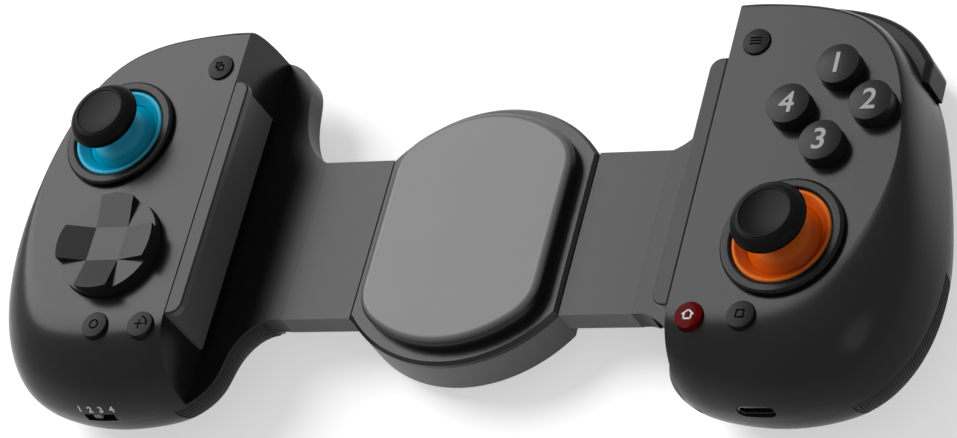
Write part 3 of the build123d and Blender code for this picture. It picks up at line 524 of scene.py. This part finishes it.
def stroke(bm: bmesh.types.BMesh, line: Sequence[Point], width: float, low: float,
           high: float) -> None:
    """Add a flat raised stroke with round ends along a line, in the XY plane.

    Args:
        bm: The bmesh that the stroke goes into.
        line: Points of the stroke's middle.
        width: Its width.
        low: Height of its underside.
        high: Height of its top.
    """
    half = width / 2
    for (x0, y0), (x1, y1) in zip(line, line[1:]):
        turn = math.atan2(y1 - y0, x1 - x0)
        rim: list[Point] = []
        for x, y, start in ((x1, y1, turn - math.pi / 2), (x0, y0, turn + math.pi / 2)):
            for step in range(ROUND_STEPS + 1):
                angle = start + math.pi * step / ROUND_STEPS
                rim.append((x + half * math.cos(angle), y + half * math.sin(angle)))
        loft(bm, [[bm.verts.new((x, y, height)) for x, y in rim] for height in (low, high)])


def arc(radius: float, start: float, end: float) -> list[Point]:
    """Find points along an arc about the origin.

    Args:
        radius: The arc's radius.
        start: Angle of its first point, in degrees.
        end: Angle of its last point, in degrees.

    Returns:
        The points, in order.
    """
    turn = end - start
    angles = [math.radians(start + turn * step / ARC_STEPS) for step in range(ARC_STEPS + 1)]
    return [(radius * math.cos(angle), radius * math.sin(angle)) for angle in angles]


def glyph_lines(glyph: Glyph) -> list[list[Point]]:
    """Lines of a pictogram, in millimetres about its middle.

    Args:
        glyph: Which pictogram.

    Returns:
        One list of points for each stroke.
    """
    if glyph is Glyph.BARS:
        return [[(-1.3, y), (1.3, y)] for y in (-0.8, 0.0, 0.8)]
    if glyph is Glyph.PLUS:
        return [[(-1.2, -0.1), (1.0, -0.1)], [(-0.1, -1.2), (-0.1, 1.0)], arc(1.9, -5, 80)]
    if glyph is Glyph.PANES:
        front = [(-0.3, -1.1), (1.1, -1.1), (1.1, 0.3), (-0.3, 0.3), (-0.3, -1.1)]
        back = [(-0.3, -0.3), (-1.1, -0.3), (-1.1, 1.1), (0.3, 1.1), (0.3, 0.3)]
        return [front, back]
    if glyph is Glyph.SQUARE:
        return [[(-0.9, -0.9), (0.9, -0.9), (0.9, 0.9), (-0.9, 0.9), (-0.9, -0.9)]]
    if glyph is Glyph.HOUSE:
        roof = [(-1.3, 0.1), (0, 1.2), (1.3, 0.1)]
        walls = [(-0.9, 0.2), (-0.9, -1.1), (0.9, -1.1), (0.9, 0.2)]
        return [roof, walls]
    return [arc(1.1, 0, 360)]


def numeral_mesh(text: str, size: float, thickness: float, weight: float) -> bpy.types.Mesh:
    """Flat mesh of a plain number, centred on its own middle.

    Args:
        text: The number.
        size: Height of the characters' line.
        thickness: Depth of the mesh.
        weight: How much each edge of the characters is moved outwards.

    Returns:
        The mesh, lying in the XY plane with its top at z = 0.
    """
    curve = bpy.data.curves.new(f"numeral_{text}", "FONT")
    curve.body = text
    curve.size = size
    curve.extrude = thickness / 2
    curve.offset = weight
    curve.resolution_u = NUMERAL_STEPS
    curve.align_x = "CENTER"
    curve.align_y = "CENTER"
    holder = bpy.data.objects.new("numeral_holder", curve)
    bpy.context.scene.collection.objects.link(holder)
    bpy.context.view_layer.update()
    mesh = bpy.data.meshes.new_from_object(holder)
    bpy.data.objects.remove(holder)
    xs = [vertex.co.x for vertex in mesh.vertices]
    ys = [vertex.co.y for vertex in mesh.vertices]
    middle = Vector((middle_of(xs), middle_of(ys), thickness / 2))
    for vertex in mesh.vertices:
        vertex.co -= middle
    return mesh


# Sub-assemblies


@dataclass
class Assembly:
    """Something that can be dressed: what every sub-assembly shares."""

    paint: Paint

    def nodes(self) -> list[str]:
        """Names of the CAD nodes that belong to the sub-assembly."""
        return []

    def pieces(self) -> None:
        """Build the sub-assembly's own pieces."""

    def build(self) -> None:
        """Dress the CAD nodes and add the pieces."""
        for node in self.nodes():
            self.paint.dress(node)
        self.pieces()
        log.info("%s: %d nodes", type(self).__name__, len(self.nodes()))


@dataclass
class Casing(Assembly):
    """The shells, arm and jaw of one grip, with the ribs of its side patches.

    A patch's outer faces are told from its upright ends and its flat top and underside by the
    size of their normal's Z, which lies between steepest and flattest. The rays that find them
    start ray_start outside the surface.
    """

    side: Side = Side.LEFT
    rib_pitch: float = 0.8 * MM
    rib_height: float = 0.22 * MM
    rib_foot: float = 0.56 * MM
    rib_crest: float = 0.26 * MM
    rib_sunk: float = 0.15 * MM
    rows: int = 14
    grip_middle: float = 95 * MM
    steepest: float = 0.01
    flattest: float = 0.95
    ray_start: float = 4 * MM
    ray_reach: float = 12 * MM

    def nodes(self) -> list[str]:
        """Names of the grip's casing nodes."""
        pieces = ("front_shell", "rear_shell", "arm", "clamp_jaw", "grip_rubber")
        return [self.side.node(piece) for piece in pieces]

    def pieces(self) -> None:
        """Stand the ribs on the two patches, which lie a little below the casing's surface."""
        node = self.side.node("grip_rubber")
        low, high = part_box(node)
        middle = (low + high) / 2
        tree, points = self.outer_skin(self.paint.frame["nodes"][node])
        inset = 2 * self.rib_sunk
        span = high.z - low.z - 2 * inset
        heights = [low.z + inset + span * row / self.rows for row in range(self.rows + 1)]
        bm = bmesh.new()
        for near_centre in (True, False):
            patch = [point for point in points if (abs(point.x) < abs(middle.x)) is near_centre]
            start = min(patch, key=lambda point: abs(point.x))
            self.walk(bm, tree, Vector((start.x, start.y, middle.z)), heights)
        name = self.side.node("ribs")
        self.paint.piece(name, mesh_from(bm, name), "grip_rubber", "grip_rubber", self.side.body)

    def outer_skin(self, patch: bpy.types.Object) -> tuple[BVHTree, list[Vector]]:
        """Find the patches' faces that look out of the casing.

        Args:
            patch: The node that holds both plain patches.

        Returns:
            A tree of those faces, and their points.
        """
        middle = self.side.sign * self.grip_middle
        points = [vertex.co.copy() for vertex in patch.data.vertices]
        faces = []
        for face in patch.data.polygons:
            outward = face.normal.x * (face.center.x - middle) + face.normal.y * face.center.y
            if outward > 0 and self.steepest < abs(face.normal.z) < self.flattest:
                faces.append(list(face.vertices))
        used = {index for face in faces for index in face}
        return BVHTree.FromPolygons(points, faces), [points[index] for index in used]

    def walk(self, bm: bmesh.types.BMesh, tree: BVHTree, start: Vector,
             heights: list[float]) -> None:
        """Add ribs one pitch apart along a patch, from its end near the centre to its other end.

        Args:
            bm: The bmesh that the ribs go into.
            tree: The patches' outer faces.
            start: A point near the first end.
            heights: Heights of the ribs' rows.
        """
        place, normal, _index, _distance = tree.find_nearest(start)
        missed = False
        while not missed:
            out = Vector((normal.x, normal.y, 0)).normalized()
            along = Vector(UP).cross(out) * self.side.sign
            goal = place + along * self.rib_pitch
            goal.z = start.z
            place, normal, _index, distance = tree.find_nearest(goal)
            missed = distance > self.rib_pitch / 2
            if not missed:
                self.rib(bm, tree, place, normal, heights)

    def rib(self, bm: bmesh.types.BMesh, tree: BVHTree, place: Vector, normal: Vector,
            heights: list[float]) -> None:
        """Add one upright rib that follows the patch's surface.

        Args:
            bm: The bmesh that the rib goes into.
            tree: The patches' outer faces.
            place: The rib's place on the surface.
            normal: The surface's direction there.
            heights: Heights of its rows.
        """
        out = Vector((normal.x, normal.y, 0)).normalized()
        along = Vector(UP).cross(out)
        rings = []
        for height in heights:
            origin = Vector((place.x, place.y, height)) + out * self.ray_start
            hit, _normal, _index, _distance = tree.ray_cast(origin, -out, self.ray_reach)
            if hit is not None:
                foot, crest = along * self.rib_foot / 2, along * self.rib_crest / 2
                down, up = -out * self.rib_sunk, out * self.rib_height
                corners = (hit + foot + down, hit + crest + up, hit - crest + up, hit - foot + down)
                rings.append([bm.verts.new(corner) for corner in corners])
        if len(rings) > 1:
            loft(bm, rings)


@dataclass
class Thumbstick(Assembly):
    """One thumbstick: bezel, tinted ring and dome, cap and the mechanism below."""

    side: Side = Side.LEFT

    def nodes(self) -> list[str]:
        """Names of the thumbstick's nodes."""
        pieces = ("bezel", "ring", "module", "gimbal", "stem", "dome", "cap")
        return [self.side.node(f"stick_{piece}") for piece in pieces]


@dataclass
class FaceButtons(Assembly):
    """The four large round buttons with their plain numbers."""

    numbers: dict[str, str] = field(default_factory=lambda: {
        "button_top": "1", "button_right": "2", "button_bottom": "3", "button_left": "4"})
    size: float = 7.6 * MM
    weight: float = 0.1 * MM
    thickness: float = 0.4 * MM
    proud: float = 0.04 * MM

    def nodes(self) -> list[str]:
        """Names of the buttons and their membrane."""
        return [*self.numbers, "button_membrane"]

    def pieces(self) -> None:
        """Lay each number on its button's crown."""
        for node, text in self.numbers.items():
            low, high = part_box(node)
            middle = (low + high) / 2
            mesh = numeral_mesh(text, self.size, self.thickness, self.weight)
            mesh.transform(Matrix.Translation((middle.x, middle.y, high.z + self.proud)))
            self.paint.piece(f"{node}_number", mesh, "print_pale", "button_black", node)


@dataclass
class SmallButtons(Assembly):
    """The small round buttons with their plain pictograms."""

    glyphs: dict[str, Glyph] = field(default_factory=lambda: {
        "tabs_button": Glyph.PANES, "macro_button": Glyph.RING, "plus_button": Glyph.PLUS,
        "menu_button": Glyph.BARS, "mode_button": Glyph.SQUARE, "home_button": Glyph.HOUSE})
    width: float = 0.36 * MM
    proud: float = 0.04 * MM
    sunk: float = 0.3 * MM

    def nodes(self) -> list[str]:
        """Names of the buttons."""
        return list(self.glyphs)

    def pieces(self) -> None:
        """Lay each pictogram on its button's crown."""
        for node, glyph in self.glyphs.items():
            low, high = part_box(node)
            middle = (low + high) / 2
            bm = bmesh.new()
            for line in glyph_lines(glyph):
                points = [(middle.x + x * MM, middle.y + y * MM) for x, y in line]
                stroke(bm, points, self.width, high.z - self.sunk, high.z + self.proud)
            mesh = mesh_from(bm, f"{node}_glyph")
            finish = "print_white" if glyph is Glyph.HOUSE else "dark_print_and_shade"
            self.paint.piece(f"{node}_glyph", mesh, finish, self.paint.slots[node], node)


@dataclass
class DirectionPad(Assembly):
    """The direction pad and what it rocks on."""

    def nodes(self) -> list[str]:
        """Names of the direction pad's nodes."""
        return ["dpad", "dpad_ball", "dpad_post", "dpad_membrane"]


@dataclass
class Shoulder(Assembly):
    """Bumper and trigger of one grip."""

    side: Side = Side.LEFT

    def nodes(self) -> list[str]:
        """Names of the shoulder's nodes."""
        return [self.side.node(piece) for piece in ("bumper", "trigger", "shoulder_pins")]


@dataclass
class ModeSwitch(Assembly):
    """The mode switch in the left grip's near side, with the numbers of its places.

    The row of numbers is shifted along X from the slider's middle. The rays that find the casing
    start ray_start in front of the slider.
    """

    places: int = 4
    spacing: float = 3.1 * MM
    shift: float = 1 * MM
    height: float = 20.6 * MM
    size: float = 2.7 * MM
    weight: float = 0.09 * MM
    thickness: float = 0.2 * MM
    proud: float = 0.03 * MM
    ray_start: float = 20 * MM
    ray_reach: float = 100 * MM

    def nodes(self) -> list[str]:
        """Name of the switch's node."""
        return ["mode_switch"]

    def pieces(self) -> None:
        """Lay the numbers on the casing above the slot."""
        tree = surface_of(self.paint.frame["nodes"]["left_front_shell"])
        low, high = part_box("mode_switch")
        middle = (low.x + high.x) / 2 + self.shift
        for index in range(self.places):
            x = middle + (index - (self.places - 1) / 2) * self.spacing
            origin = Vector((x, low.y - self.ray_start, self.height))
            ahead = Vector((0, 1, 0))
            place, normal, _index, _distance = tree.ray_cast(origin, ahead, self.ray_reach)
            if place is None:
                log.warning("no casing behind mode number %d", index + 1)
                continue
            mesh = numeral_mesh(str(index + 1), self.size, self.thickness, self.weight)
            across = Vector(UP).cross(normal).normalized()
            upward = normal.cross(across)
            seat = Matrix((across, upward, normal)).transposed().to_4x4()
            seat.translation = place + normal * self.proud
            mesh.transform(seat)
            name = f"mode_number_{index + 1}"
            self.paint.piece(name, mesh, "print_white", "casing_grey", "left_grip")


@dataclass
class ChargeSocket(Assembly):
    """The charging socket, with gold contacts on its tongue, which start inset from its mouth."""

    contacts: int = 12
    pitch: float = 0.5 * MM
    width: float = 0.26 * MM
    length: float = 3.6 * MM
    tongue: float = 0.35 * MM
    inset: float = 1 * MM
    proud: float = 0.02 * MM

    def nodes(self) -> list[str]:
        """Name of the socket's node."""
        return ["usb_port"]

    def pieces(self) -> None:
        """Lay the contacts on both sides of the tongue."""
        low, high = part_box("usb_port")
        middle = (low + high) / 2
        bm = bmesh.new()
        for index in range(self.contacts):
            x = middle.x + (index - (self.contacts - 1) / 2) * self.pitch
            for side in (-1, 1):
                z = middle.z + side * self.tongue
                y = low.y + self.inset + self.length / 2
                place = Matrix.Translation((x, y, z)) @ Matrix.Diagonal(
                    (self.width, self.length, 2 * self.proud, 1))
                bmesh.ops.create_cube(bm, size=1, matrix=place)
        mesh = mesh_from(bm, "socket_contacts")
        self.paint.piece("socket_contacts", mesh, "contact_gold", "port_steel", "right_grip")


@dataclass
class CentreBody(Assembly):
    """The centre body with its pad, gear and springs."""

    def nodes(self) -> list[str]:
        """Names of the centre body's nodes."""
        return ["centre_cover", "centre_base", "phone_pad", "sync_pinion", "pinion_pin",
                "left_return_spring", "right_return_spring"]


@dataclass
class Insides(Assembly):
    """What the casings hide."""

    def nodes(self) -> list[str]:
        """Names of the hidden nodes."""
        return ["battery", "left_circuit_board", "right_circuit_board"]


@dataclass
class Screws(Assembly):
    """Screws of the underside, each with a dark cross of painted shade on its head that stands for
    a cross recess.
    """

    carriers: dict[str, str] = field(default_factory=lambda: {
        "left_grip_screws": "left_grip", "right_grip_screws": "right_grip",
        "centre_screws": "centre"})
    recess_share: float = 0.62
    recess_turns: tuple[float, float] = (20, 110)
    recess_width: float = 0.5 * MM
    proud: float = 0.02 * MM
    sunk: float = 0.3 * MM

    def nodes(self) -> list[str]:
        """Names of the screw nodes."""
        return list(self.carriers)

    def pieces(self) -> None:
        """Lay a dark cross of painted shade on each head, for its recess."""
        for node, body in self.carriers.items():
            bm = bmesh.new()
            for middle, radius, low in self.heads(node):
                reach = radius * self.recess_share
                for turn in map(math.radians, self.recess_turns):
                    along = (reach * math.cos(turn), reach * math.sin(turn))
                    line = [(middle.x - along[0], middle.y - along[1]),
                            (middle.x + along[0], middle.y + along[1])]
                    stroke(bm, line, self.recess_width, low - self.proud, low + self.sunk)
            # The cross is painted shade of the recess, in the dark print finish
            mesh = mesh_from(bm, f"{node}_recess")
            self.paint.piece(f"{node}_recess", mesh, "dark_print_and_shade", "screw_steel", body)

    def heads(self, node: str) -> list[tuple[Vector, float, float]]:
        """Find the heads of a node's screws.

        Args:
            node: The node that holds the screws.

        Returns:
            For each screw, its axis, its head's radius and the height of its underside, in order
            along X and then along Y.
        """
        bm = bmesh.new()
        bm.from_mesh(self.paint.frame["nodes"][node].data)
        bmesh.ops.remove_doubles(bm, verts=bm.verts[:], dist=SAME_PLACE)
        found = []
        unseen = set(bm.verts)
        while unseen:
            group, edge = set(), {unseen.pop()}
            while edge:
                vertex = edge.pop()
                group.add(vertex)
                near = {link.other_vert(vertex) for link in vertex.link_edges}
                edge |= near & unseen
                unseen -= near
            low = min(vertex.co.z for vertex in group)
            foot = [vertex.co for vertex in group if vertex.co.z < low + SAME_PLACE]
            xs, ys = [co.x for co in foot], [co.y for co in foot]
            middle = Vector((middle_of(xs), middle_of(ys), low))
            found.append((middle, (max(xs) - min(xs)) / 2, low))
        bm.free()
        return sorted(found, key=lambda head: (head[0].x, head[0].y))


# Studio


@dataclass
class PhotoView:
    """The camera, at the photograph's viewing angle. Its focal length is in the photo's pixels."""

    place: Triple = (0.494594, -0.462929, 0.758193)
    turn_degrees: Triple = (34.9991, 25.6421, 15.1748)
    sensor: float = 36.0
    photo_width: float = 957.0
    focal_pixels: float = 4240.2
    nearest: float = 0.01

    def build(self) -> None:
        """Make the camera and use it."""
        data = bpy.data.cameras.new("photo_view")
        data.sensor_width = self.sensor
        data.sensor_fit = "HORIZONTAL"
        data.lens = self.focal_pixels * self.sensor / self.photo_width
        data.clip_start = self.nearest
        camera = bpy.data.objects.new("photo_view", data)
        camera.location = self.place
        camera.rotation_euler = [math.radians(angle) for angle in self.turn_degrees]
        bpy.context.scene.collection.objects.link(camera)
        bpy.context.scene.camera = camera


@dataclass(frozen=True)
class Lamp:
    """A soft round lamp that points at the object."""

    name: str
    direction: Triple
    distance: float
    size: float
    power: float

    def build(self) -> None:
        """Make the lamp."""
        data = bpy.data.lights.new(self.name, "AREA")
        data.shape = "DISK"
        data.size = self.size
        data.energy = self.power
        lamp = bpy.data.objects.new(self.name, data)
        away = Vector(self.direction).normalized()
        lamp.location = away * self.distance
        lamp.rotation_euler = away.to_track_quat("Z", "Y").to_euler()
        bpy.context.scene.collection.objects.link(lamp)


def seen_or_mirrored(nodes: bpy.types.Nodes, links: bpy.types.NodeLinks) -> bpy.types.NodeSocket:
    """Tell rays from the camera, mirrors and glass from the rays that only light things.

    Args:
        nodes: Nodes of the tree.
        links: Links of the same tree.

    Returns:
        A socket that is 1 for such a ray and 0 for the others.
    """
    path = nodes.new("ShaderNodeLightPath")
    socket = path.outputs["Is Camera Ray"]
    for kind in ("Is Glossy Ray", "Is Transmission Ray"):
        either = nodes.new("ShaderNodeMath")
        either.operation = "MAXIMUM"
        links.new(socket, either.inputs[0])
        links.new(path.outputs[kind], either.inputs[1])
        socket = either.outputs[0]
    return socket


@dataclass
class Studio:
    """Pale floor, white surroundings and soft lamps."""

    floor_colour: Colour = (0.72, 0.72, 0.72)
    floor_tone_spread: float = 0.01
    floor_clouds_per_metre: float = 3.0
    floor_octaves: float = 2.0
    floor_roughness: float = 0.9
    floor_glow: float = 0.52
    floor_half: float = 6.0
    ambient: float = 0.22
    backdrop: float = 1.0
    lamps: tuple[Lamp, ...] = (
        Lamp("key", direction=(-0.625, 0.35, 0.698), distance=4.0, size=3.0, power=180.0),
        Lamp("fill", direction=(0.75, -0.55, 0.6), distance=2.0, size=1.0, power=3.0),
    )

    def build(self) -> None:
        """Make the floor, the world and the lamps."""
        bpy.context.scene.view_settings.view_transform = "Standard"
        self.floor()
        self.world()
        for lamp in self.lamps:
            lamp.build()

    def floor(self) -> None:
        """Make the floor that the palms rest on."""
        sheet = NodeSheet("studio_floor")
        clouds = sheet.noise(self.floor_clouds_per_metre, self.floor_octaves)
        tone = sheet.spread(clouds, 0, 1)
        darker = tuple(value * (1 - self.floor_tone_spread) for value in self.floor_colour)
        sheet.link(sheet.mix(tone, darker, self.floor_colour), sheet.shader.inputs["Base Color"])
        sheet.shader.inputs["Roughness"].default_value = self.floor_roughness
        sheet.shader.inputs["Specular IOR Level"].default_value = 0.0
        sheet.shader.inputs["Emission Color"].default_value = WHITE
        glow = sheet.add("ShaderNodeMath", operation="MULTIPLY")
        glow.inputs[1].default_value = self.floor_glow
        sheet.link(seen_or_mirrored(sheet.nodes, sheet.links), glow.inputs[0])
        sheet.link(glow.outputs[0], sheet.shader.inputs["Emission Strength"])
        bm = bmesh.new()
        half = self.floor_half
        corners = ((-half, -half), (half, -half), (half, half), (-half, half))
        bm.faces.new([bm.verts.new((x, y, 0)) for x, y in corners])
        mesh = mesh_from(bm, "studio_floor")
        mesh.materials.append(sheet.material)
        floor = bpy.data.objects.new("studio_floor", mesh)
        bpy.context.scene.collection.objects.link(floor)

    def world(self) -> None:
        """Make surroundings that are white to look at and light the object plainly."""
        world = bpy.data.worlds.new("studio_world")
        bpy.context.scene.world = world
        world.use_nodes = True
        nodes, links = world.node_tree.nodes, world.node_tree.links
        back = nodes["Background"]
        back.inputs["Color"].default_value = WHITE
        strength = nodes.new("ShaderNodeMapRange")
        strength.inputs["To Min"].default_value = self.ambient
        strength.inputs["To Max"].default_value = self.backdrop
        links.new(seen_or_mirrored(nodes, links), strength.inputs["Value"])
        links.new(strength.outputs["Result"], back.inputs["Strength"])


def main() -> None:
    """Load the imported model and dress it."""
    logging.basicConfig(level=logging.INFO, format="%(name)s: %(message)s")
    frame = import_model()
    paint = Paint(frame)
    PhotoView().build()
    Studio().build()
    assemblies: list[Assembly] = [CentreBody(paint)]
    for side in Side:
        assemblies += [Casing(paint, side), Thumbstick(paint, side), Shoulder(paint, side)]
    assemblies += [DirectionPad(paint), FaceButtons(paint), SmallButtons(paint), ModeSwitch(paint),
                   ChargeSocket(paint), Insides(paint), Screws(paint)]
    for assembly in assemblies:
        assembly.build()


if __name__ == "__main__":
    main()
